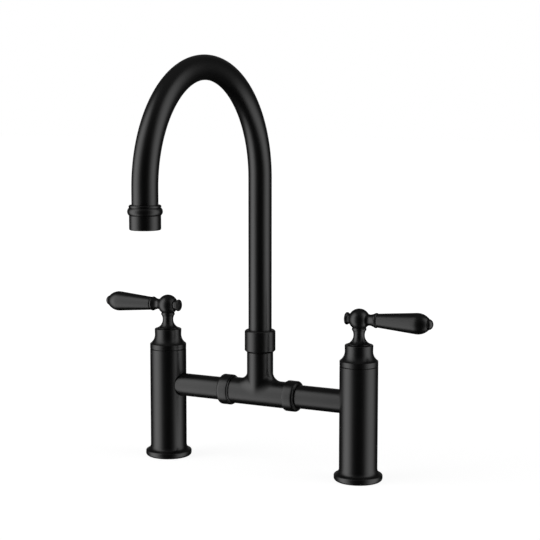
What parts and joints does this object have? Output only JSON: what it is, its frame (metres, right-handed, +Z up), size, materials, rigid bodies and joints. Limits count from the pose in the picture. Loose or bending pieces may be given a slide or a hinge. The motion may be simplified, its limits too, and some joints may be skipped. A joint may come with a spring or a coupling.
{
  "type": "bridge kitchen faucet",
  "caption": "Deck-mounted bridge kitchen faucet with lever valves on round pillars, a cross bridge and a high swivelling swan-neck spout.",
  "frame": {"origin": "on the deck, midway between the axes of the two pillars", "axes": "+X along the bridge to the valve on the right as the user sees it, -Y towards the user (the spout's side at rest), +Z up"},
  "size_m": [0.3454, 0.2361, 0.3855],
  "materials": {
    "black_metal": "satin",
    "brass": "satin",
    "rubber": "matte",
    "ceramic": "satin",
    "acetal": "satin",
    "aerator_plastic": "satin",
    "stainless": "satin"
  },
  "bodies": {
    "base": {"left_pillar": "black_metal", "left_bonnet": "black_metal", "left_bridge_tube": "black_metal", "left_union_nut": "black_metal", "left_base_seal": "rubber", "left_bonnet_bush": "acetal", "left_cartridge_body": "brass", "left_seat_seal": "rubber", "left_fixed_disc": "ceramic", "left_union_washer": "rubber", "left_bridge_oring": "rubber", "right_pillar": "black_metal", "right_bonnet": "black_metal", "right_bridge_tube": "black_metal", "right_union_nut": "black_metal", "right_base_seal": "rubber", "right_bonnet_bush": "acetal", "right_cartridge_body": "brass", "right_seat_seal": "rubber", "right_fixed_disc": "ceramic", "right_union_washer": "rubber", "right_bridge_oring": "rubber", "bridge_tee": "black_metal", "riser_collar": "black_metal", "swivel_thrust_ring": "acetal", "swivel_top_ring": "acetal"},
    "left_handle": {"left_handle_hub": "black_metal", "left_lever_arm": "black_metal", "left_lever_grip": "black_metal", "left_lever_end_button": "black_metal", "left_lever_finial": "black_metal", "left_spindle": "brass", "left_spindle_orings": "rubber", "left_spindle_clip": "stainless", "left_turning_disc": "ceramic"},
    "right_handle": {"right_handle_hub": "black_metal", "right_lever_arm": "black_metal", "right_lever_grip": "black_metal", "right_lever_end_button": "black_metal", "right_lever_finial": "black_metal", "right_spindle": "brass", "right_spindle_orings": "rubber", "right_spindle_clip": "stainless", "right_turning_disc": "ceramic"},
    "spout": {"spout_tube": "black_metal", "swivel_insert": "brass", "swivel_orings": "rubber", "spout_nozzle": "black_metal", "aerator_shell": "black_metal", "aerator_washer": "rubber", "aerator_insert": "aerator_plastic", "aerator_screen": "stainless"}
  },
  "joints": [
    {"name": "spout_swivel", "type": "hinge", "parent": "base", "child": "spout", "pos_m": [0, 0, 0.124], "axis": [0, 0, 1], "continuous": true},
    {"name": "left_lever_turn", "type": "hinge", "parent": "base", "child": "left_handle", "pos_m": [-0.1016, 0, 0.1491], "axis": [0, 0, 1], "range_deg": [0, 90]},
    {"name": "right_lever_turn", "type": "hinge", "parent": "base", "child": "right_handle", "pos_m": [0.1016, 0, 0.1491], "axis": [0, 0, 1], "range_deg": [-90, 0]}
  ]
}
